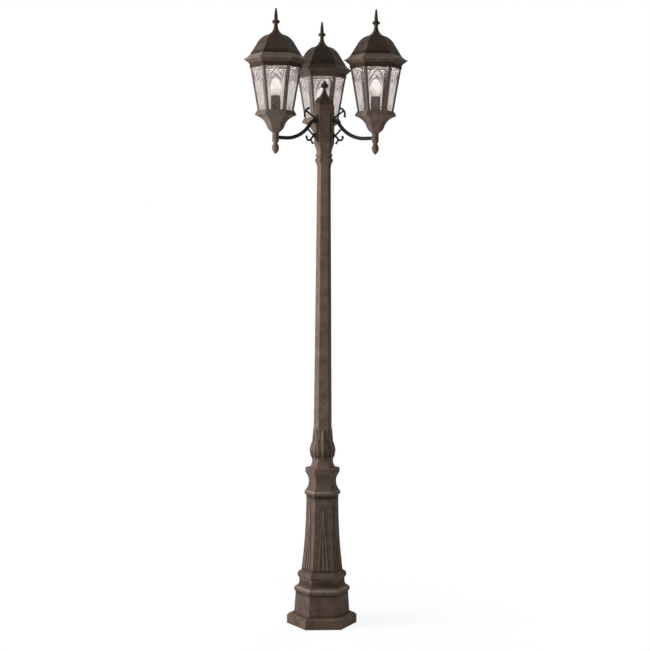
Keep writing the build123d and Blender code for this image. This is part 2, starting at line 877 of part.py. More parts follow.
with BuildPart() as strap_screw_pair:
    with BuildSketch(Plane.XY.offset(cage_top)):
        with Locations((0, strap_screw_y), (0, -strap_screw_y)):
            Circle(strap_screw_radius)
    extrude(amount=ledge_thickness + strap_thickness)
    with BuildSketch(Plane.XY.offset(ledge_z + strap_thickness)):
        with Locations((0, strap_screw_y), (0, -strap_screw_y)):
            Circle(strap_screw_head_radius)
    extrude(amount=strap_screw_head_height)


# Roof: an ogee shell of even wall with a seat flange inside its eave
def roof_outline(shift):
    """Outline of the roof, moved inwards and down by the shift."""
    flare_z = eave_z + eave_lip - shift
    slope_z = flare_z + flare_height
    shoulder_z = slope_z + slope_height
    peak_z = shoulder_z + shoulder_height
    with BuildSketch(Plane.XZ) as outline:
        with BuildLine():
            eave = Polyline((0, eave_z - shift), (eave_half - shift, eave_z - shift), (eave_half - shift, flare_z))
            flare = SagittaArc(eave @ 1, (flare_half - shift, slope_z), flare_hollow)
            slope = Line(flare @ 1, (slope_half - shift, shoulder_z))
            shoulder = SagittaArc(slope @ 1, (shoulder_half - shift, peak_z), -shoulder_swell)
            peak = SagittaArc(shoulder @ 1, (peak_half - shift, peak_z + peak_height), peak_hollow)
            Polyline(peak @ 1, (peak_half - shift, roof_top - shift), (0, roof_top - shift))
            mirror(about=Plane.YZ)
        make_face()
    return outline.sketch


with BuildPart() as roof:
    add(faceted(roof_outline(0)))
    add(faceted(roof_outline(roof_wall)), mode=Mode.SUBTRACT)
    with BuildSketch(Plane.XY.offset(eave_z)):
        RegularPolygon(eave_half, 6, major_radius=False)
        RegularPolygon(eave_half - eave_seat, 6, major_radius=False, mode=Mode.SUBTRACT)
    extrude(amount=eave_lip)
    with BuildSketch(Plane.XY.offset(roof_top)):
        Circle(stud_radius + stud_hole_gap)
    extrude(amount=-2 * roof_wall, mode=Mode.SUBTRACT)

# Roof finial
with BuildSketch(Plane.XZ) as finial_outline:
    with BuildLine():
        finial_collar_z = roof_top + finial_foot_height + finial_neck_height
        finial_spire_z = finial_collar_z + finial_collar_height
        finial_tip_z = finial_spire_z + finial_spire_height
        finial_foot = Polyline(
            (0, roof_top),
            (finial_foot_radius, roof_top),
            (finial_foot_radius, roof_top + finial_foot_height),
        )
        finial_neck = SagittaArc(finial_foot @ 1, (finial_neck_radius, finial_collar_z), finial_neck_hollow)
        finial_collar = ThreePointArc(
            finial_neck @ 1,
            (finial_collar_radius, finial_collar_z + finial_collar_height / 2),
            (finial_spire_radius, finial_spire_z),
        )
        finial_spire = SagittaArc(finial_collar @ 1, (finial_tip_radius, finial_tip_z), -finial_spire_swell)
        finial_tip = RadiusArc(finial_spire @ 1, (0, finial_tip_z + finial_tip_radius), -finial_tip_radius)
        Line(finial_tip @ 1, finial_foot @ 0)
    make_face()

with BuildPart() as top_finial:
    revolve(finial_outline.sketch, axis=Axis.Z)
    with BuildSketch(Plane.XY.offset(roof_top)):
        Circle(stud_radius + thread_gap)
    extrude(amount=stud_engagement + thread_gap, mode=Mode.SUBTRACT)

# Drop finial that closes the knuckle from below
with BuildSketch(Plane.XZ) as drop_outline:
    with BuildLine():
        drop_acorn_z = knuckle_z - drop_neck_height
        drop_tip_z = drop_acorn_z - drop_acorn_height
        drop_plug = Polyline(
            (0, knuckle_z + drop_spigot_length),
            (knuckle_bore / 2 - screw_fit, knuckle_z + drop_spigot_length),
            (knuckle_bore / 2 - screw_fit, knuckle_z),
            (drop_flange_radius, knuckle_z),
        )
        drop_neck = SagittaArc(drop_plug @ 1, (drop_neck_radius, drop_acorn_z), -drop_neck_hollow)
        drop_acorn = ThreePointArc(
            drop_neck @ 1,
            (drop_radius, drop_acorn_z - drop_belly_drop),
            (drop_tip_radius, drop_tip_z),
        )
        drop_tip = RadiusArc(drop_acorn @ 1, (0, drop_tip_z - drop_tip_radius), drop_tip_radius)
        Line(drop_tip @ 1, drop_plug @ 0)
    make_face()

with BuildPart() as drop_finial:
    revolve(drop_outline.sketch, axis=Axis.Z)

# Lamp holder: hollow nipple, lock nut, socket and candle sleeve
with BuildPart() as nipple:
    with BuildSketch(Plane.XY.offset(cup_z - knuckle_top)):
        Circle(nipple_radius)
        Circle(nipple_bore / 2, mode=Mode.SUBTRACT)
    extrude(amount=socket_z + nipple_grip - cup_z + knuckle_top)

with BuildPart() as lock_nut:
    with BuildSketch(Plane.XY.offset(cup_floor_z)):
        RegularPolygon(lock_nut_flats / 2, 6, major_radius=False)
        Circle(nipple_radius + screw_fit, mode=Mode.SUBTRACT)
    extrude(amount=lock_nut_height)

with BuildPart() as lamp_socket:
    with BuildSketch(Plane.XY.offset(socket_z)):
        Circle(socket_radius)
    extrude(amount=socket_length)
    with BuildSketch(Plane.XY.offset(lamp_seat_z)):
        Circle(lamp_cap_radius + thread_gap)
    extrude(amount=socket_top - lamp_seat_z, mode=Mode.SUBTRACT)
    with BuildSketch(Plane.XY.offset(socket_z)):
        Circle(nipple_radius + screw_fit)
    extrude(amount=nipple_grip, mode=Mode.SUBTRACT)

with BuildPart() as candle_sleeve:
    with BuildSketch(Plane.XY.offset(cup_floor_z)):
        Circle(sleeve_radius)
        Circle(sleeve_radius - sleeve_wall, mode=Mode.SUBTRACT)
    extrude(amount=sleeve_length)

# Lamp: screw cap and hollow glass
with BuildPart() as lamp_cap:
    with BuildSketch(Plane.XY.offset(lamp_cap_z)):
        Circle(lamp_cap_radius)
    extrude(amount=lamp_cap_length)
    with BuildSketch(Plane.XY.offset(lamp_cap_z)):
        Circle(lamp_contact_radius)
    extrude(amount=-lamp_contact_height)


def lamp_outline(inset):
    """Half outline of the lamp's glass, moved inwards by the inset and open at the cap."""
    belly_z = lamp_glass_z + lamp_neck_height + lamp_belly_height
    crown_turns = [radians(90 * step / lamp_crown_steps) for step in range(lamp_crown_steps)]
    crown = [
        ((lamp_radius - inset) * cos(turn), belly_z + (lamp_crown_height - inset) * sin(turn))
        for turn in crown_turns
    ]
    with BuildSketch(Plane.XZ) as outline:
        with BuildLine():
            Polyline(
                (0, lamp_glass_z),
                (lamp_foot_radius - inset, lamp_glass_z),
                (lamp_neck_radius - inset, lamp_glass_z + lamp_neck_height),
                *crown,
                (0, belly_z + lamp_crown_height - inset),
                close=True,
            )
        make_face()
    return outline.sketch


with BuildPart() as lamp_glass:
    revolve(lamp_outline(0), axis=Axis.Z)
    revolve(lamp_outline(lamp_wall), axis=Axis.Z, mode=Mode.SUBTRACT)

# Lead from the socket through the nipple, knuckle and arm into the hub, with its connector
with BuildLine(Plane.YZ) as lead_path:
    park = Line(
        (lead_park, arm_entry_z + lead_park_bend + lead_tail),
        (lead_park, arm_entry_z + lead_park_bend),
    )
    park_bend = JernArc(park @ 1, park % 1, lead_park_bend, 90)
    lead_stub = Line(park_bend @ 1, (hub_half + arm_stub, arm_entry_z))
    lead_elbow = JernArc(lead_stub @ 1, lead_stub % 1, arm_elbow, -arm_turn)
    lead_bend = JernArc(lead_elbow @ 1, lead_elbow % 1, arm_bend, arm_turn)
    lead_run = Line(lead_bend @ 1, (arm_reach - lead_turn, arm_z))
    lead_rise = JernArc(lead_run @ 1, lead_run % 1, lead_turn, 90)
    Line(lead_rise @ 1, (arm_reach, socket_z + nipple_grip))

with BuildPart() as lead:
    add(rod(lead_path.wire(), lead_radius))

with BuildPart() as connector:
    connector_z = arm_entry_z + lead_park_bend + lead_tail - connector_grip
    with BuildSketch(Plane((0, lead_park, connector_z))):
        Circle(connector_radius)
    with BuildSketch(Plane((0, lead_park, connector_z + connector_length))):
        Circle(connector_tip_radius)
    loft()
    with BuildSketch(Plane((0, lead_park, connector_z))):
        Circle(lead_radius + joint_gap)
    extrude(amount=connector_grip, mode=Mode.SUBTRACT)

# Pieces of the post
post_pieces = {
    "base_casting": base_casting,
    "leaf_collar": leaf_collar,
    "pole": pole,
    "pole_capital": pole_capital,
    "hub": hub,
    "hub_cap": hub_cap,
    "hub_finial": hub_finial,
    "set_screws": set_screws,
}
for name, piece in post_pieces.items():
    save(piece, name)

# Pieces that each lantern has, and small ones that the three lanterns share as one group
arm_pieces = {"arm": arm, "arm_scroll": arm_scroll}
lantern_pieces = {
    "cup": cup,
    "cage_ribs": cage_ribs,
    "glass_panes": glass_panes,
    "cornice_ring": cornice_ring,
    "roof_strap": roof_strap,
    "roof": roof,
    "top_finial": top_finial,
    "drop_finial": drop_finial,
    "lamp_socket": lamp_socket,
    "candle_sleeve": candle_sleeve,
    "lamp_cap": lamp_cap,
    "lamp_glass": lamp_glass,
}
arm_groups = {"lamp_leads": lead, "lead_connectors": connector}
lantern_groups = {"lamp_nipples": nipple, "lock_nuts": lock_nut, "strap_screws": strap_screw_pair}
at_post = Location((0, 0, 0))
at_lantern = Location((0, arm_reach, 0))

for pieces, start in ((arm_pieces, at_post), (lantern_pieces, at_lantern)):
    for name, piece in pieces.items():
        for side, turn in lantern_turns.items():
            with BuildPart() as placed:
                with Locations(Location((0, 0, 0), (0, 0, turn)) * start):
                    add(piece.part)
            save(placed, f"{side}_{name}")

for pieces, start in ((arm_groups, at_post), (lantern_groups, at_lantern)):
    for name, piece in pieces.items():
        with BuildPart() as placed:
            with Locations([Location((0, 0, 0), (0, 0, turn)) * start for turn in lantern_turns.values()]):
                add(piece.part)
        save(placed, name)
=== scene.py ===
"""Looks of a garden lamp post with three hexagonal lanterns: finishes, pane sprays and studio."""
import json
import math
from types import SimpleNamespace

import bmesh
import bpy
import numpy as np
from mathutils import Matrix, Vector


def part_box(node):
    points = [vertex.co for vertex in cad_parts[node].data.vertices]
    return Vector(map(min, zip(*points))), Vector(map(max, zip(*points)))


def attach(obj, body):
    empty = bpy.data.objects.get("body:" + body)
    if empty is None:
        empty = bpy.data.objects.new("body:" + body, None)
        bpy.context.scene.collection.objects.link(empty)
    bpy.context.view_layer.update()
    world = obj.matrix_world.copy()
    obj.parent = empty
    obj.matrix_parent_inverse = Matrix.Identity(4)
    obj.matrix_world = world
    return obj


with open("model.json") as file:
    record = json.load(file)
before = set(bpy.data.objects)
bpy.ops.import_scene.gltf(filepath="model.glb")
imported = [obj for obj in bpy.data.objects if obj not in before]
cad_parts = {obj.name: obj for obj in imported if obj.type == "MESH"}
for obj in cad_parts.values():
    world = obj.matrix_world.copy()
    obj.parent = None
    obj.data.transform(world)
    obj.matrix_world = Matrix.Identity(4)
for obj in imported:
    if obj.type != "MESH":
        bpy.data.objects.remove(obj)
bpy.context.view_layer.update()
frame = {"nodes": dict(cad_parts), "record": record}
nodes = frame["nodes"]

# Sizes shared with the solids, in metres.
ARM_REACH = 0.2155
KNUCKLE_RADIUS = 0.0126
KNUCKLE_MARGIN = 0.0004
PAD_RADIUS = 0.0405
CAGE_FOOT_HALF = 0.0585
CAGE_TOP_HALF = 0.0823
PANE_SINK = 0.0033
cage_low, cage_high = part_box("rear_cage_ribs")
CAGE_TOP_Z = cage_high.z
CAGE_HEIGHT = cage_high.z - cage_low.z
lamp_low, lamp_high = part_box("rear_lamp_glass")
LAMP_Z = lamp_low.z
LAMP_TOP_Z = lamp_high.z
LAMP_HEIGHT = lamp_high.z - lamp_low.z
HEADER_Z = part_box("rear_cornice_ring")[0].z
HEADER_HEIGHT = 0.013
LIP_HEIGHT = 0.0185
ROOF_CREASE_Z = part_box("rear_roof")[0].z + LIP_HEIGHT
HUB_TOP_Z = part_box("hub")[1].z
BASE_TOP_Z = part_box("base_casting")[1].z
LEAF_FOOT_Z = 0.639
LEAF_TIP_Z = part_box("leaf_collar")[1].z
LEAF_VEINS = 16.0
REED_FOOT_Z = 0.219
REED_HEIGHT = 0.236
REED_SPREAD = 0.017
REED_HALF_WIDTH = 0.003
REED_TAPER = 0.6

# Bands round the base: the heights where each starts, is full, stays full to, and ends.
UNDER_BEAD = (0.112, 0.121, 0.125, 0.129)
BEAD = (0.137, 0.141, 0.146, 0.148)
COVE = (0.148, 0.155, 0.167, 0.175)
COLUMN_FOOT = (0.203, 0.209, 0.214, 0.224)
UNDER_RING = (0.482, 0.494, 0.499, 0.503)
RING = (0.509, 0.513, 0.518, 0.52)

# Each lantern: its angle about the post, its shares of painted shade and painted highlight, and the
# watts of the lamp that lights its enamel. The rear lantern's roof and eave take painted shade that
# the side ones don't.
SIDE_LANTERN = {
    "header_soot": 0.7, "eave_soot": 0.0,
    "roof_dirt": 0.0, "lip_dirt": 0.0, "lip_rub": 0.5,
    "glow": 1.0,
}
REAR_LANTERN = {
    "header_soot": 0.4, "eave_soot": 0.2,
    "roof_dirt": 0.4, "lip_dirt": 0.5, "lip_rub": 0.1,
    "glow": 0.5,
}
LANTERNS = {
    "rear": SimpleNamespace(angle=90.0, **REAR_LANTERN),
    "left": SimpleNamespace(angle=210.0, **SIDE_LANTERN),
    "right": SimpleNamespace(angle=330.0, **SIDE_LANTERN),
}
# Shares of painted shade in the roof's crease and under the leaves, and of painted highlight on
# bead, ring and reeds.
CREASE_SHADE = 0.65
BEAD_HIGHLIGHT = 0.55
REED_HIGHLIGHT = 0.34
LEAF_SHADOW = 0.65


# Finishes


def tones(dark, light, tint, worn_and_lit):
    """Colours of a coat: dark and light clouds, the tint that drifts over them, and the pale tone
    of specks, edge wear and painted highlights.
    """
    return SimpleNamespace(dark=dark, light=light, tint=tint, worn_and_lit=worn_and_lit)


BROWN = tones(
    dark=(0.054, 0.036, 0.027), light=(0.092, 0.062, 0.048),
    tint=(0.08, 0.055, 0.038), worn_and_lit=(0.2, 0.15, 0.115),
)
# Darker copy of the cast brown for roofs and finials: painted shade.
ROOF_BROWN_SHADED = tones(
    dark=(0.03, 0.02, 0.015), light=(0.057, 0.038, 0.029),
    tint=(0.043, 0.034, 0.018), worn_and_lit=(0.155, 0.114, 0.09),
)
# Lighter copy of the cast brown for cups, drops, ribs and knuckles: painted light.
CUP_BROWN_LIT = tones(
    dark=(0.074, 0.052, 0.04), light=(0.125, 0.089, 0.07),
    tint=(0.108, 0.081, 0.059), worn_and_lit=(0.24, 0.185, 0.15),
)
# Lighter copy of the cast brown for hub, pole, leaf collar and scroll pads: painted light.
HUB_BROWN_LIT = tones(
    dark=(0.073, 0.048, 0.037), light=(0.125, 0.083, 0.065),
    tint=(0.107, 0.073, 0.053), worn_and_lit=(0.25, 0.19, 0.15),
)
# Darker copy of the cast brown for the hub cap: painted shade.
CAP_BROWN_SHADED = tones(
    dark=(0.036, 0.025, 0.018), light=(0.064, 0.044, 0.034),
    tint=(0.054, 0.042, 0.024), worn_and_lit=(0.165, 0.12, 0.095),
)
# Sleeve brown lightened for light that does not reach it inside the glass: painted light.
SLEEVE_BROWN_LIT = tones(
    dark=(0.125, 0.075, 0.062), light=(0.2, 0.127, 0.107),
    tint=(0.15, 0.11, 0.08), worn_and_lit=(0.3, 0.22, 0.19),
)
BRONZE = tones(
    dark=(0.018, 0.016, 0.014), light=(0.038, 0.034, 0.029),
    tint=(0.034, 0.029, 0.021), worn_and_lit=(0.1, 0.085, 0.072),
)
# Colour of painted shade and painted shadow in creases, recesses, furrows and under mouldings.
PAINTED_SHADE = (0.012, 0.008, 0.006)
RUST = (0.17, 0.088, 0.046)
ENAMEL_LOW = (0.3, 0.27, 0.255)
ENAMEL_HIGH = (0.38, 0.35, 0.335)

# Powder coat: how rough and shiny it is, how much its edges lighten as wear and painted highlight,
# and how much painted shade darkens its corners.
COAT_ROUGHNESS = 0.5
ARM_ROUGHNESS = 0.45
SLEEVE_ROUGHNESS = 0.55
COAT_SPECULAR = 0.025
EDGE_WIDTH = 0.0022
EDGE_WEAR_AND_HIGHLIGHT = 0.6
CORNER_REACH = 0.018
CORNER_SHADE = 0.6
CORNER_SHADE_TONE = 0.35
SHADING_SAMPLES = 6

# How squarely a face looks away from a lantern's axis, or at it, to count as outside or inside.
FACING = 0.15

# Sockets of the Mix node that take and give colours.
MIX_FIRST, MIX_SECOND, MIX_RESULT = 6, 7, 2

# Factors that bring a place down to the ground.
LEVEL = (1.0, 1.0, 0.0)


def grey(level):
    """Neutral colour of the given level."""
    return (level, level, level)


def finish(name):
    """A node material with its tree, its shader and the Object coordinates its patterns read."""
    material = bpy.data.materials.new(name)
    material.use_nodes = True
    tree = material.node_tree
    shader = tree.nodes["Principled BSDF"]
    place = tree.nodes.new("ShaderNodeTexCoord").outputs["Object"]
    return material, tree, shader, place


def stretched(tree, place, scale):
    """Coordinates multiplied per axis: a pattern runs longer where the factor is smaller."""
    mapping = tree.nodes.new("ShaderNodeMapping")
    mapping.inputs["Scale"].default_value = scale
    tree.links.new(place, mapping.inputs["Vector"])
    return mapping.outputs["Vector"]


def coordinate(tree, place, axis):
    """One of the coordinates X, Y and Z."""
    node = tree.nodes.new("ShaderNodeSeparateXYZ")
    tree.links.new(place, node.inputs["Vector"])
    return node.outputs[axis]


def noise(tree, place, per_metre, detail=4.0, roughness=0.55):
    """Fractal noise with the given number of features per metre."""
    texture = tree.nodes.new("ShaderNodeTexNoise")
    texture.inputs["Scale"].default_value = per_metre
    texture.inputs["Detail"].default_value = detail
    texture.inputs["Roughness"].default_value = roughness
    tree.links.new(place, texture.inputs["Vector"])
    return texture.outputs["Fac"]


def ramp(tree, value, *stops):
    """Colour ramp through (position, colour) stops."""
    node = tree.nodes.new("ShaderNodeValToRGB")
    elements = node.color_ramp.elements
    elements.remove(elements[1])
    elements[0].position = stops[0][0]
    elements[0].color = (*stops[0][1], 1.0)
    for position, colour in stops[1:]:
        elements.new(position).color = (*colour, 1.0)
    tree.links.new(value, node.inputs["Fac"])
    return node.outputs["Color"]


def fade(tree, value, *stops):
    """Amount through (position, amount) stops."""
    return ramp(tree, value, *[(position, grey(amount)) for position, amount in stops])


def blend(tree, factor, first, second):
    """First colour where the factor is 0, second where it is 1; each a socket or a fixed triple."""
    node = tree.nodes.new("ShaderNodeMix")
    node.data_type = "RGBA"
    tree.links.new(factor, node.inputs["Factor"])
    for colour, inlet in ((first, node.inputs[MIX_FIRST]), (second, node.inputs[MIX_SECOND])):
        if isinstance(colour, tuple):
            inlet.default_value = (*colour, 1.0)
        else:
            tree.links.new(colour, inlet)
    return node.outputs[MIX_RESULT]


def maths(tree, operation, first, second=0.0):
    """One sum on one or two values; a value is a socket or a fixed number."""
    node = tree.nodes.new("ShaderNodeMath")
    node.operation = operation
    for value, inlet in ((first, node.inputs[0]), (second, node.inputs[1])):
        if isinstance(value, (int, float)):
            inlet.default_value = value
        else:
            tree.links.new(value, inlet)
    return node.outputs[0]


def product(tree, first, second):
    """First value times the second."""
    return maths(tree, "MULTIPLY", first, second)


def vector_maths(tree, operation, first, second=(0.0, 0.0, 0.0)):
    """One sum on one or two vectors; the second is a socket or a fixed triple."""
    node = tree.nodes.new("ShaderNodeVectorMath")
    node.operation = operation
    tree.links.new(first, node.inputs[0])
    if isinstance(second, tuple):
        node.inputs[1].default_value = second
    else:
        tree.links.new(second, node.inputs[1])
    return node.outputs["Value" if operation in ("DOT_PRODUCT", "LENGTH") else "Vector"]


def off_axis(tree, place):
    """Level distance of a spot from the post's axis."""
    return vector_maths(tree, "LENGTH", vector_maths(tree, "MULTIPLY", place, LEVEL))


def turn_about_post(tree, place):
    """Angle of a spot about the post's axis, in radians."""
    return maths(tree, "ARCTAN2", coordinate(tree, place, "Y"), coordinate(tree, place, "X"))


def true_normal(tree):
    """Normal of the surface itself."""
    return tree.nodes.new("ShaderNodeNewGeometry").outputs["Normal"]


def edge_wear_and_highlight(tree, width):
    """Share of a spot on an edge: how far its normal turns when it is rounded over the width."""
    rounded = tree.nodes.new("ShaderNodeBevel")
    rounded.samples = SHADING_SAMPLES
    rounded.inputs["Radius"].default_value = width
    turn = vector_maths(tree, "DOT_PRODUCT", rounded.outputs["Normal"], true_normal(tree))
    return fade(tree, turn, (0.72, 1.0), (0.985, 0.0))


def crevices(tree, reach):
    """Share of a spot that its neighbours within the reach close in."""
    shade = tree.nodes.new("ShaderNodeAmbientOcclusion")
    shade.samples = SHADING_SAMPLES
    shade.inputs["Distance"].default_value = reach
    return fade(tree, shade.outputs["AO"], (0.35, 1.0), (0.85, 0.0))


def bump(tree, shader, height, strength, depth):
    """Relief of the given depth in metres on the shader's normal, over what relief it has."""
    node = tree.nodes.new("ShaderNodeBump")
    node.inputs["Strength"].default_value = strength
    node.inputs["Distance"].default_value = depth
    tree.links.new(height, node.inputs["Height"])
    for finer in shader.inputs["Normal"].links:
        tree.links.new(finer.from_socket, node.inputs["Normal"])
    tree.links.new(node.outputs["Normal"], shader.inputs["Normal"])


def textured_coat(tree, shader, place, coat, rough=COAT_ROUGHNESS):
    """Powder coat in its tones on a shader, and its colour.

    Two tones in clouds, a drifting tint, pale specks, edges lightened as wear and painted
    highlight, painted shade in the corners and a fine grain.
    """
    clouds = noise(tree, place, per_metre=30.0, detail=6.0, roughness=0.62)
    clouded = ramp(tree, clouds, (0.36, coat.dark), (0.66, coat.light))
    drift = noise(tree, place, per_metre=9.0, detail=3.0)
    tinted = blend(tree, fade(tree, drift, (0.42, 0.0), (0.68, 0.55)), clouded, coat.tint)
    grain = noise(tree, place, per_metre=700.0, detail=3.0, roughness=0.6)
    speckled = blend(tree, fade(tree, grain, (0.56, 0.0), (0.72, 0.5)), tinted, coat.worn_and_lit)
    # Edges lightened as wear and as painted highlight; corners darkened with painted shade from
    # ambient occlusion.
    edges = product(tree, edge_wear_and_highlight(tree, EDGE_WIDTH), EDGE_WEAR_AND_HIGHLIGHT)
    lightened = blend(tree, edges, speckled, coat.worn_and_lit)
    corners = product(tree, crevices(tree, CORNER_REACH), CORNER_SHADE)
    shaded = blend(tree, corners, lightened, tuple(CORNER_SHADE_TONE * level for level in coat.dark))
    tree.links.new(shaded, shader.inputs["Base Color"])
    sheen = fade(tree, noise(tree, place, per_metre=120.0), (0.3, rough - 0.06), (0.7, rough + 0.1))
    tree.links.new(sheen, shader.inputs["Roughness"])
    shader.inputs["Specular IOR Level"].default_value = COAT_SPECULAR
    bump(tree, shader, grain, strength=0.4, depth=0.0004)
    return shaded


def powder_coat(name, coat, rough=COAT_ROUGHNESS):
    """Coat of a piece that shows one set of tones."""
    material, tree, shader, place = finish(name)
    textured_coat(tree, shader, place, coat, rough)
    return material


def two_coats(name, inner, outer, radius):
    """Coat with one set of tones up to a distance from the post's axis and another beyond it."""
    material, tree, shader, place = finish(name)
    near = textured_coat(tree, shader, place, inner, ARM_ROUGHNESS)
    far = textured_coat(tree, shader, place, outer, ARM_ROUGHNESS)
    beyond = maths(tree, "GREATER_THAN", off_axis(tree, place), radius)
    tree.links.new(blend(tree, beyond, near, far), shader.inputs["Base Color"])
    return material


def by_height(tree, place, *stops, wander=0.003):
    """Amount through (height, amount) stops from low to high, on lines that wander a little."""
    low, high = stops[0][0], stops[-1][0]
    drift = product(tree, noise(tree, place, per_metre=60.0, detail=3.0), wander)
    drifted = maths(tree, "ADD", coordinate(tree, place, "Z"), drift)
    above = maths(tree, "SUBTRACT", drifted, low + 0.5 * wander)
    share = maths(tree, "DIVIDE", above, high - low)
    return fade(tree, share, *[((z - low) / (high - low), amount) for z, amount in stops])


def base_bands(tree, place, *rows):
    """Amount in level bands round the base: each row is a band and its amount, none elsewhere."""
    stops = [(0.0, 0.0)]
    for (start, full, last, end), amount in rows:
        stops += [(start, 0.0), (full, amount), (last, amount), (end, 0.0)]
    return by_height(tree, place, *stops, (BASE_TOP_Z, 0.0))


def lantern_centre(side):
    """Level place of a lantern's axis: the arm's reach times the cosine and sine of its angle."""
    angle = math.radians(LANTERNS[side].angle)
    return ARM_REACH * math.cos(angle), ARM_REACH * math.sin(angle)


def facing_out(tree, place, centre):
    """How squarely a spot faces away from an upright axis: 1 straight out, -1 straight in."""
    from_axis = vector_maths(tree, "SUBTRACT", place, (*centre, 0.0))
    level = vector_maths(tree, "MULTIPLY", from_axis, LEVEL)
    outward = vector_maths(tree, "NORMALIZE", level)
    return vector_maths(tree, "DOT_PRODUCT", outward, true_normal(tree))


def enamelled_inside(tree, place, out, outside):
    """The outside colour, and pale reflector enamel on what faces the lantern's axis."""
    clouds = noise(tree, place, per_metre=40.0, detail=3.0)
    enamel = ramp(tree, clouds, (0.35, ENAMEL_LOW), (0.65, ENAMEL_HIGH))
    return blend(tree, maths(tree, "LESS_THAN", out, -FACING), outside, enamel)


def cornice_coat(side):
    """Coat of a cornice ring: painted shade outside on the header and less above it, pale enamel
    inside.
    """
    material, tree, shader, place = finish(f"{side}_cornice_coat")
    brown = textured_coat(tree, shader, place, BROWN)
    out = facing_out(tree, place, lantern_centre(side))
    # Painted shade outside on the header under the eave, fading out above it.
    line = by_height(
        tree, place,
        (HEADER_Z + 0.9 * HEADER_HEIGHT, LANTERNS[side].header_soot),
        (HEADER_Z + 1.5 * HEADER_HEIGHT, LANTERNS[side].eave_soot),
        wander=0.004,
    )
    shade_outside = product(tree, line, maths(tree, "GREATER_THAN", out, FACING))
    darkened = blend(tree, shade_outside, brown, PAINTED_SHADE)
    tree.links.new(enamelled_inside(tree, place, out, darkened), shader.inputs["Base Color"])
    return material


def roof_coat(side):
    """Coat of a roof: painted highlight on the lip of the eave, painted shade where the slope meets
    it, pale enamel inside.
    """
    material, tree, shader, place = finish(f"{side}_roof_coat")
    brown = textured_coat(tree, shader, place, ROOF_BROWN_SHADED)
    # Painted highlight on the lip of the eave; painted shade in the crease above it and, on the
    # rear lantern, over roof and lip.
    highlight = by_height(
        tree, place,
        (ROOF_CREASE_Z - 0.002, LANTERNS[side].lip_rub),
        (ROOF_CREASE_Z + 0.001, 0.0),
        wander=0.004,
    )
    shade_share = by_height(
        tree, place,
        (ROOF_CREASE_Z - 0.002, LANTERNS[side].lip_dirt),
        (ROOF_CREASE_Z + 0.002, CREASE_SHADE),
        (ROOF_CREASE_Z + 0.009, CREASE_SHADE),
        (ROOF_CREASE_Z + 0.018, LANTERNS[side].roof_dirt),
        wander=0.004,
    )
    shaded = blend(tree, shade_share, blend(tree, highlight, brown, BROWN.worn_and_lit), PAINTED_SHADE)
    out = facing_out(tree, place, lantern_centre(side))
    tree.links.new(enamelled_inside(tree, place, out, shaded), shader.inputs["Base Color"])
    return material


def reed_crests(tree, place):
    """Share of a spot on a reed's crest: near one of three lines on each face that meet at the tip.

    The distance across a face is the radius times the sine of the angle from the face's middle. The
    outer lines start a spread away from the middle one and close in evenly with height.
    """
    face_half = math.pi / 6
    past_first = maths(tree, "ADD", turn_about_post(tree, place), face_half)
    off_middle = maths(tree, "PINGPONG", past_first, face_half)
    across = product(tree, off_axis(tree, place), maths(tree, "SINE", off_middle))
    above_foot = maths(tree, "SUBTRACT", coordinate(tree, place, "Z"), REED_FOOT_Z)
    rise = maths(tree, "DIVIDE", above_foot, REED_HEIGHT)
    spread = product(tree, maths(tree, "SUBTRACT", 1.0, rise), REED_SPREAD)
    beside = maths(tree, "ABSOLUTE", maths(tree, "SUBTRACT", across, spread))
    nearest = maths(tree, "MINIMUM", across, beside)
    taper = maths(tree, "SUBTRACT", 1.0, product(tree, rise, REED_TAPER))
    half_width = product(tree, taper, REED_HALF_WIDTH)
    crest = fade(tree, maths(tree, "DIVIDE", nearest, half_width), (0.35, 1.0), (0.95, 0.0))
    tip_z = REED_FOOT_Z + REED_HEIGHT
    reach = by_height(
        tree, place,
        (REED_FOOT_Z - 0.004, 0.0), (REED_FOOT_Z, 1.0), (tip_z - 0.003, 1.0), (tip_z, 0.0),
    )
    return product(tree, crest, reach)


def base_coat():
    """Coat of the base: painted highlight on bead, ring and reeds, painted shadow under the
    mouldings, rust at the foot.
    """
    material, tree, shader, place = finish("base_coat")
    brown = textured_coat(tree, shader, place, BROWN)
    patches = fade(tree, noise(tree, place, per_metre=45.0), (0.5, 0.0), (0.66, 0.42))
    low = by_height(tree, place, (0.0, 1.0), (0.03, 0.8), (0.07, 0.0), wander=0.02)
    rusty = blend(tree, product(tree, patches, low), brown, RUST)
    # Painted highlight on the bead and the ring, and below on the reed crests.
    highlight = base_bands(tree, place, (BEAD, BEAD_HIGHLIGHT), (RING, BEAD_HIGHLIGHT))
    lightened = blend(tree, highlight, rusty, BROWN.worn_and_lit)
    reeds = product(tree, reed_crests(tree, place), REED_HIGHLIGHT)
    ridged = blend(tree, reeds, lightened, BROWN.worn_and_lit)
    # Painted shadow under the bead, in the cove, at the column's foot and under the ring.
    shade_share = base_bands(
        tree, place, (UNDER_BEAD, 0.6), (COVE, 0.5), (COLUMN_FOOT, 0.4), (UNDER_RING, 0.7)
    )
    tree.links.new(blend(tree, shade_share, ridged, PAINTED_SHADE), shader.inputs["Base Color"])
    return material


def hub_coat():
    """Coat of the hub, with painted shadow under the joint of its cap."""
    material, tree, shader, place = finish("hub_coat")
    brown = textured_coat(tree, shader, place, HUB_BROWN_LIT)
    # Painted shadow under the joint of the cap.
    shade_share = by_height(
        tree, place, (HUB_TOP_Z - 0.014, 0.0), (HUB_TOP_Z - 0.007, 0.5), (HUB_TOP_Z, 0.6)
    )
    tree.links.new(blend(tree, shade_share, brown, PAINTED_SHADE), shader.inputs["Base Color"])
    return material


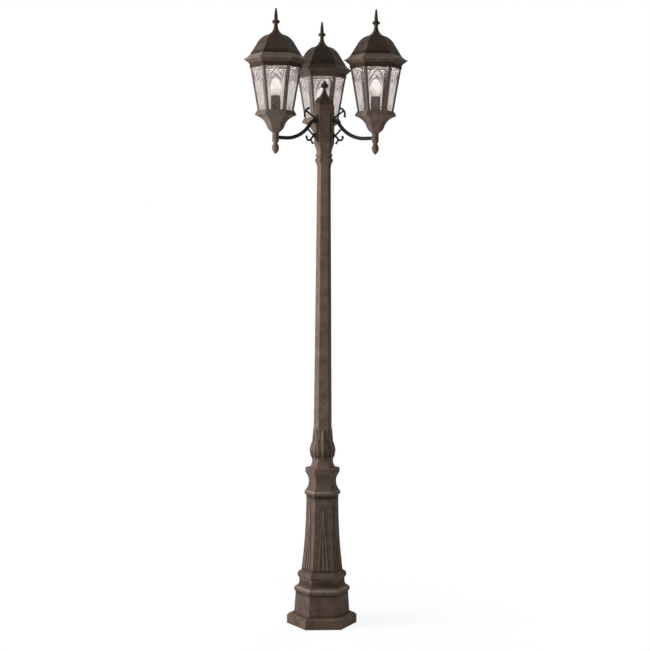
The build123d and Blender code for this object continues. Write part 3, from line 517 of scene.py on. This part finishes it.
def leaf_coat():
    """Coat of the leaf collar: painted highlight on the veins and painted shade in the furrows, and
    painted shadow under the leaves.

    Veins and furrows are the crests and hollows of the cosine of the angle about the post times the
    number of veins, and its relief too.
    """
    material, tree, shader, place = finish("leaf_coat")
    brown = textured_coat(tree, shader, place, HUB_BROWN_LIT)
    wave = maths(tree, "COSINE", product(tree, turn_about_post(tree, place), LEAF_VEINS))
    leaf = by_height(
        tree, place,
        (LEAF_FOOT_Z, 0.0), (LEAF_FOOT_Z + 0.006, 1.0),
        (LEAF_TIP_Z - 0.06, 0.9), (LEAF_TIP_Z - 0.02, 0.25), (LEAF_TIP_Z, 0.0),
        wander=0.004,
    )
    # Painted highlight on the veins and painted shade in the furrows of the relief.
    vein = product(tree, fade(tree, wave, (0.55, 0.0), (0.95, 0.32)), leaf)
    hollow = product(tree, wave, -1.0)
    furrow = product(tree, fade(tree, hollow, (0.35, 0.0), (0.95, 0.45)), leaf)
    veined = blend(tree, furrow, blend(tree, vein, brown, HUB_BROWN_LIT.worn_and_lit), PAINTED_SHADE)
    # Painted shadow under the leaves at their foot.
    shade_share = by_height(
        tree, place,
        (BASE_TOP_Z + 0.018, 0.0), (LEAF_FOOT_Z - 0.008, LEAF_SHADOW),
        (LEAF_FOOT_Z + 0.001, LEAF_SHADOW), (LEAF_FOOT_Z + 0.007, 0.0),
    )
    tree.links.new(blend(tree, shade_share, veined, PAINTED_SHADE), shader.inputs["Base Color"])
    bump(tree, shader, product(tree, wave, leaf), strength=0.6, depth=0.0012)
    return material


def water_glass():
    """Pale milky glass of the panes: soft upright streaks in its tint, its ripple and its haze."""
    material, tree, shader, place = finish("water_glass")
    run = stretched(tree, place, (1.0, 1.0, 0.3))
    streaks = noise(tree, run, per_metre=75.0, roughness=0.6)
    tint = ramp(
        tree, streaks,
        (0.32, (0.66, 0.61, 0.595)), (0.5, (0.8, 0.755, 0.74)), (0.68, (0.9, 0.875, 0.865)),
    )
    tree.links.new(tint, shader.inputs["Base Color"])
    haze = fade(tree, noise(tree, run, per_metre=50.0, detail=2.0), (0.4, 0.05), (0.7, 0.14))
    tree.links.new(haze, shader.inputs["Roughness"])
    shader.inputs["Transmission Weight"].default_value = 0.96
    shader.inputs["IOR"].default_value = 1.12
    bump(tree, shader, streaks, strength=0.12, depth=0.001)
    return material


def pressed_glass():
    """Greyer, rougher glass of the raised sprays on the panes."""
    material, tree, shader, place = finish("pressed_glass")
    cloud = noise(tree, place, per_metre=260.0, detail=3.0)
    tint = ramp(tree, cloud, (0.35, (0.3, 0.265, 0.25)), (0.65, (0.46, 0.42, 0.405)))
    tree.links.new(tint, shader.inputs["Base Color"])
    tree.links.new(fade(tree, cloud, (0.35, 0.4), (0.65, 0.6)), shader.inputs["Roughness"])
    shader.inputs["Transmission Weight"].default_value = 0.88
    shader.inputs["IOR"].default_value = 1.3
    return material


def lit_opal():
    """Opal glass of a lit lamp: brightest near its crown, mottled and pinker towards the neck."""
    material, tree, shader, place = finish("lit_opal_glass")
    drift = 0.03
    mottle = noise(tree, stretched(tree, place, (1.0, 1.0, 0.4)), per_metre=110.0, detail=2.0)
    cloudy = maths(tree, "ADD", coordinate(tree, place, "Z"), product(tree, mottle, drift))
    above_neck = maths(tree, "SUBTRACT", cloudy, LAMP_Z + 0.5 * drift)
    height = maths(tree, "DIVIDE", above_neck, LAMP_HEIGHT)
    glow = ramp(
        tree, height,
        (0.02, (0.42, 0.36, 0.345)), (0.3, (0.76, 0.7, 0.675)), (0.58, (0.99, 0.97, 0.96)),
    )
    tree.links.new(glow, shader.inputs["Base Color"])
    tree.links.new(glow, shader.inputs["Emission Color"])
    shader.inputs["Emission Strength"].default_value = 0.75
    shader.inputs["Roughness"].default_value = 0.45
    return material


def metal(name, low, high, rough, grain=260.0):
    """Bare metal: brushed streaks in colour and gloss."""
    material, tree, shader, place = finish(name)
    lines = noise(tree, stretched(tree, place, (1.0, 1.0, 0.1)), per_metre=grain)
    tree.links.new(ramp(tree, lines, (0.3, low), (0.7, high)), shader.inputs["Base Color"])
    sheen = fade(tree, lines, (0.3, rough - 0.08), (0.7, rough + 0.12))
    tree.links.new(sheen, shader.inputs["Roughness"])
    shader.inputs["Metallic"].default_value = 1.0
    bump(tree, shader, lines, strength=0.2, depth=0.0003)
    return material


def moulded(name, low, high, rough):
    """Moulded plastic or rubber: faint flow marks and a fine grain."""
    material, tree, shader, place = finish(name)
    flow = noise(tree, place, per_metre=90.0, detail=3.0)
    tree.links.new(ramp(tree, flow, (0.35, low), (0.65, high)), shader.inputs["Base Color"])
    sheen = fade(tree, flow, (0.35, rough), (0.65, rough + 0.12))
    tree.links.new(sheen, shader.inputs["Roughness"])
    grain = noise(tree, place, per_metre=1500.0, detail=2.0)
    bump(tree, shader, grain, strength=0.25, depth=0.0002)
    return material


# Finishes of the record's material slots. Each piece of cast metal has its own finish, below.
SLOT_FINISH = {
    "dark_metal": two_coats("scroll_coat", HUB_BROWN_LIT, BRONZE, PAD_RADIUS),
    "pane_glass": water_glass(),
    "lamp_glass": lit_opal(),
    "candle": powder_coat("sleeve_coat", SLEEVE_BROWN_LIT, SLEEVE_ROUGHNESS),
    "socket_shell": moulded("socket_plastic", grey(0.02), (0.04, 0.038, 0.036), 0.35),
    "lamp_cap_metal": metal("rolled_cap_metal", (0.55, 0.54, 0.5), (0.75, 0.74, 0.7), 0.3, 300.0),
    "brass": metal("bare_brass", (0.5, 0.36, 0.14), (0.72, 0.55, 0.25), 0.32),
    "screws": metal("zinc_steel", grey(0.26), (0.42, 0.42, 0.41), 0.46),
    "black_screws": metal("black_oxide_steel", (0.02, 0.019, 0.018), (0.05, 0.048, 0.045), 0.45),
    "lead_cover": moulded("lead_rubber", grey(0.02), grey(0.04), 0.6),
    "connector_shell": moulded("connector_plastic", (0.42, 0.13, 0.04), (0.6, 0.22, 0.07), 0.35),
}
# Arms, cups, finials and pole take the lighter or darker copies of the cast brown: painted light
# and painted shade on one coat.
arm_coat = two_coats("arm_coat", BRONZE, CUP_BROWN_LIT, ARM_REACH - KNUCKLE_RADIUS - KNUCKLE_MARGIN)
cup_coat = powder_coat("cup_coat", CUP_BROWN_LIT)
finial_coat = powder_coat("finial_coat", ROOF_BROWN_SHADED)
pole_coat = powder_coat("pole_coat", HUB_BROWN_LIT)
OWN_FINISH = {
    "base_casting": base_coat(),
    "leaf_collar": leaf_coat(),
    "pole": pole_coat,
    "pole_capital": pole_coat,
    "hub": hub_coat(),
    "hub_cap": powder_coat("cap_coat", CAP_BROWN_SHADED),
    "hub_finial": finial_coat,
}
for side in LANTERNS:
    OWN_FINISH[f"{side}_arm"] = arm_coat
    OWN_FINISH[f"{side}_cup"] = cup_coat
    OWN_FINISH[f"{side}_drop_finial"] = cup_coat
    OWN_FINISH[f"{side}_cage_ribs"] = cup_coat
    OWN_FINISH[f"{side}_cornice_ring"] = cornice_coat(side)
    OWN_FINISH[f"{side}_roof"] = roof_coat(side)
    OWN_FINISH[f"{side}_top_finial"] = finial_coat
for subpart in frame["record"]["subparts"]:
    materials = nodes[subpart["node"]].data.materials
    materials.clear()
    materials.append(OWN_FINISH.get(subpart["node"]) or SLOT_FINISH[subpart["material_slot"]])


# Sprays on the panes

PANES = 6
FIRST_PANE_ANGLE = 90.0
SPRAY_TOP_DROP = 0.004
STROKE_STEPS = 32
STROKE_SIDES = 8
STROKE_FLATNESS = 0.5
STROKE_LIFT = 0.0003
MERGE_DISTANCE = 1e-7
NO_ZERO = 1e-9


def placed(name, data):
    """Object of the given data in the scene."""
    thing = bpy.data.objects.new(name, data)
    bpy.context.scene.collection.objects.link(thing)
    return thing


def piece(name, points, faces, material, body):
    """Smooth mesh object at the origin from an array of points and one of quads, on a body."""
    mesh = bpy.data.meshes.new(name)
    mesh.from_pydata(points.tolist(), [], faces.tolist())
    shell = bmesh.new()
    shell.from_mesh(mesh)
    bmesh.ops.remove_doubles(shell, verts=shell.verts, dist=MERGE_DISTANCE)
    shell.to_mesh(mesh)
    shell.free()
    mesh.polygons.foreach_set("use_smooth", np.ones(len(mesh.polygons), bool))
    mesh.materials.append(material)
    mesh.update()
    thing = placed(name, mesh)
    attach(thing, body)


def round_faces(rows, columns):
    """Quads of a grid of rows and columns whose last column joins its first."""
    i, j = np.meshgrid(np.arange(rows - 1), np.arange(columns), indexing="ij")
    k = (j + 1) % columns
    corners = [i * columns + j, i * columns + k, (i + 1) * columns + k, (i + 1) * columns + j]
    return np.stack(corners, -1).reshape(-1, 4)


def spray_strokes():
    """Leaf spray of one pane: paths (across, down from the top edge) in metres, and half widths.

    Each path is a cubic curve between two ends, pulled by two guide points. The two halves of the
    pane mirror each other.
    """
    guides = np.array([
        [(0.0, 0.003), (0.007, 0.012), (0.018, 0.024), (0.026, 0.047)],
        [(0.012, 0.004), (0.028, 0.005), (0.037, 0.018), (0.032, 0.037)],
        [(0.004, 0.014), (0.013, 0.016), (0.021, 0.026), (0.016, 0.036)],
        [(0.009, 0.024), (0.003, 0.031), (-0.006, 0.036), (-0.013, 0.043)],
        [(0.0, 0.039), (0.010, 0.038), (0.019, 0.042), (0.022, 0.052)],
        [(0.030, 0.010), (0.024, 0.018), (0.026, 0.028), (0.034, 0.048)],
        [(0.001, 0.150), (0.002, 0.142), (0.010, 0.139), (0.014, 0.130)],
        [(0.001, 0.151), (0.008, 0.151), (0.014, 0.147), (0.017, 0.140)],
    ])
    widths = np.array([0.0017, 0.0014, 0.0013, 0.0018, 0.0014, 0.0012, 0.0009, 0.0008])
    t = np.linspace(0.0, 1.0, STROKE_STEPS)
    weights = np.stack([(1 - t) ** 3, 3 * t * (1 - t) ** 2, 3 * t**2 * (1 - t), t**3])
    half = np.einsum("kt,skc->stc", weights, guides)
    return np.concatenate([half, half * (-1.0, 1.0)]), np.concatenate([widths, widths])


def leaf_sprays(side, glass):
    """Raised leaf sprays on the six panes of a lantern.

    A stroke's path lies on the sloping pane. A flattened oval, thinner at both ends by the root of
    the sine of its share of the way, is carried along it, and the panes repeat it by turns of 60
    degrees about the lantern's axis.
    """
    centre = lantern_centre(side)
    lean = math.atan2(CAGE_TOP_HALF - CAGE_FOOT_HALF, CAGE_HEIGHT)
    ring = np.linspace(0.0, 2.0 * math.pi, STROKE_SIDES, endpoint=False)
    way = np.sin(np.linspace(0.0, math.pi, STROKE_STEPS)).clip(0.0)
    points, faces, count = [], [], 0
    for path, width in zip(*spray_strokes()):
        along = np.gradient(path, axis=0)
        along /= np.linalg.norm(along, axis=1, keepdims=True) + NO_ZERO
        side_on = np.stack([-along[:, 1], along[:, 0]], -1)
        swell = (width * np.sqrt(way))[:, None]
        spot = path[:, None, :] + side_on[:, None, :] * (swell * np.cos(ring))[:, :, None]
        proud = swell * STROKE_FLATNESS * np.sin(ring)
        across, down = spot[..., 0], spot[..., 1] + SPRAY_TOP_DROP
        z = CAGE_TOP_Z - down * math.cos(lean)
        out = CAGE_TOP_HALF - PANE_SINK - down * math.sin(lean) + proud + STROKE_LIFT
        for pane in range(PANES):
            angle = math.radians(FIRST_PANE_ANGLE + pane * 360.0 / PANES)
            x = centre[0] + out * math.cos(angle) - across * math.sin(angle)
            y = centre[1] + out * math.sin(angle) + across * math.cos(angle)
            points.append(np.stack([x, y, z], -1).reshape(-1, 3))
            faces.append(round_faces(STROKE_STEPS, STROKE_SIDES) + count)
            count += STROKE_STEPS * STROKE_SIDES
    points, faces = np.concatenate(points), np.concatenate(faces)
    piece(f"{side}_leaf_sprays", points, faces, glass, "post")


spray_glass = pressed_glass()
for side in LANTERNS:
    leaf_sprays(side, spray_glass)


# Studio

FLOOR_RADIUS = 30.0
FLOOR_HOLE = 0.001
FLOOR_DROP = 0.0005
FLOOR_RINGS = 40
FLOOR_SPOKES = 64
SKY_STRENGTH = 0.125

# Softboxes: name, place, point it faces, size in metres, watts, colour.
WHITE = grey(1.0)
SOFTBOXES = (
    ("key_left", (-3.6, -0.6, 2.4), (0.0, 0.0, 1.3), 1.8, 360.0, (0.88, 0.95, 1.0)),
    ("fill_front", (-0.9, -2.6, 1.7), (0.0, 0.0, 1.75), 1.4, 26.0, (1.0, 0.96, 0.93)),
    ("fill_rear", (2.0, 3.0, 3.3), (0.0, 0.0, 1.4), 1.8, 125.0, WHITE),
    ("low_right", (1.2, 0.1, 0.15), (0.0, 0.0, 0.05), 0.4, 3.2, WHITE),
    ("top_front", (-0.6, -1.8, 4.3), (0.0, 0.0, 1.0), 1.8, 10.0, WHITE),
)
GLOW_SIZE = 0.03
GLOW_LIFT = 0.001

# Camera of the photograph: metres from the post and above the ground, angles in degrees.
CAMERA_DISTANCE = 5.621
CAMERA_HEIGHT = 1.4587
CAMERA_AZIMUTH = -2.8
CAMERA_YAW = 0.07
CAMERA_PITCH = 3.117
CAMERA_ROLL = 0.2855
FOCAL_PIXELS = 1468.0
PICTURE_PIXELS = 650.0
SENSOR_WIDTH = 36.0
CAMERA_REACH = 100.0


def seen_white(tree):
    """1 for rays that show the background: straight from the camera, off gloss or through glass."""
    rays = tree.nodes.new("ShaderNodeLightPath")
    either = maths(tree, "MAXIMUM", rays.outputs["Is Camera Ray"], rays.outputs["Is Glossy Ray"])
    return maths(tree, "MAXIMUM", either, rays.outputs["Is Transmission Ray"])


def shown(tree, factor, lit, white, output):
    """Output that shows the lit shader where the factor is 0 and the white one where it is 1."""
    mix = tree.nodes.new("ShaderNodeMixShader")
    tree.links.new(factor, mix.inputs["Fac"])
    tree.links.new(lit, mix.inputs[1])
    tree.links.new(white, mix.inputs[2])
    tree.links.new(mix.outputs["Shader"], tree.nodes[output].inputs["Surface"])


def floor_finish():
    """Pale floor that takes light and shadow, and shows white away from the post."""
    material, tree, shader, place = finish("studio_floor")
    clouds = noise(tree, place, per_metre=0.8, detail=2.0)
    tree.links.new(fade(tree, clouds, (0.3, 0.66), (0.7, 0.72)), shader.inputs["Base Color"])
    shader.inputs["Roughness"].default_value = 0.8
    glow = tree.nodes.new("ShaderNodeEmission")
    glow.inputs["Color"].default_value = (*WHITE, 1.0)
    clear = fade(tree, vector_maths(tree, "LENGTH", place), (0.2, 0.88), (0.9, 1.0))
    white = product(tree, seen_white(tree), clear)
    shown(tree, white, shader.outputs["BSDF"], glow.outputs["Emission"], "Material Output")
    return material


def floor():
    """Wide floor disc: radius times the cosine and sine of an angle, on a grid."""
    radii = np.linspace(FLOOR_HOLE, FLOOR_RADIUS, FLOOR_RINGS)
    angles = np.linspace(0.0, 2.0 * math.pi, FLOOR_SPOKES, endpoint=False)
    radius, angle = np.meshgrid(radii, angles, indexing="ij")
    z = np.full_like(radius, -FLOOR_DROP)
    points = np.stack([radius * np.cos(angle), radius * np.sin(angle), z], -1).reshape(-1, 3)
    mesh = bpy.data.meshes.new("studio_floor")
    mesh.from_pydata(points.tolist(), [], round_faces(FLOOR_RINGS, FLOOR_SPOKES).tolist())
    mesh.materials.append(floor_finish())
    placed("studio_floor", mesh)


def surroundings():
    """World that lights softly, most from low down, and shows white where seen."""
    world = bpy.data.worlds.new("studio")
    bpy.context.scene.world = world
    world.use_nodes = True
    tree = world.node_tree
    soft = tree.nodes["Background"]
    aim = tree.nodes.new("ShaderNodeTexCoord").outputs["Generated"]
    sky = fade(tree, coordinate(tree, aim, "Z"), (0.0, 1.0), (0.45, 0.25))
    tree.links.new(sky, soft.inputs["Color"])
    soft.inputs["Strength"].default_value = SKY_STRENGTH
    white = tree.nodes.new("ShaderNodeBackground")
    white.inputs["Color"].default_value = (*WHITE, 1.0)
    white.inputs["Strength"].default_value = 1.0
    lit, bright = soft.outputs["Background"], white.outputs["Background"]
    shown(tree, seen_white(tree), lit, bright, "World Output")


def softbox(name, place, target, size, power, colour):
    """Square area lamp that faces a point, unseen by the camera, in gloss and through glass."""
    lamp = bpy.data.lights.new(name, "AREA")
    lamp.size = size
    lamp.energy = power
    lamp.color = colour
    thing = placed(name, lamp)
    thing.location = place
    aim = Vector(target) - Vector(place)
    thing.rotation_euler = aim.to_track_quat("-Z", "Y").to_euler()
    thing.visible_camera = False
    thing.visible_transmission = False
    thing.visible_glossy = False


def lamp_glow(side):
    """Small lamp on the crown of a lamp glass that lights the enamel over it."""
    x, y = lantern_centre(side)
    place = Vector((x, y, LAMP_TOP_Z + GLOW_LIFT))
    above = place + Vector((0.0, 0.0, 1.0))
    softbox(f"{side}_lamp_glow", place, above, GLOW_SIZE, LANTERNS[side].glow, WHITE)


def turned(first, second, degrees):
    """Two axes turned in their plane: the cosine and sine of the angle mix them."""
    cosine, sine = math.cos(math.radians(degrees)), math.sin(math.radians(degrees))
    return cosine * first - sine * second, sine * first + cosine * second


def camera():
    """Camera of the photograph: a little left of the front, tilted down and rolled a little."""
    right, ahead, up = np.eye(3)
    right, ahead = turned(right, ahead, -CAMERA_AZIMUTH)
    place = CAMERA_HEIGHT * up - CAMERA_DISTANCE * ahead
    right, ahead = turned(right, ahead, CAMERA_YAW)
    ahead, up = turned(ahead, up, CAMERA_PITCH)
    up, right = turned(up, right, CAMERA_ROLL)
    data = bpy.data.cameras.new("photo_camera")
    data.sensor_fit = "HORIZONTAL"
    data.sensor_width = SENSOR_WIDTH
    data.lens = FOCAL_PIXELS / PICTURE_PIXELS * SENSOR_WIDTH
    data.clip_end = CAMERA_REACH
    axes = np.eye(4)
    axes[:3, :3] = np.stack([right, up, -ahead], 1)
    axes[:3, 3] = place
    thing = placed("photo_camera", data)
    thing.matrix_world = Matrix(axes.tolist())
    bpy.context.scene.camera = thing


floor()
surroundings()
for row in SOFTBOXES:
    softbox(*row)
for side in LANTERNS:
    lamp_glow(side)
camera()
bpy.context.scene.view_settings.view_transform = "Standard"
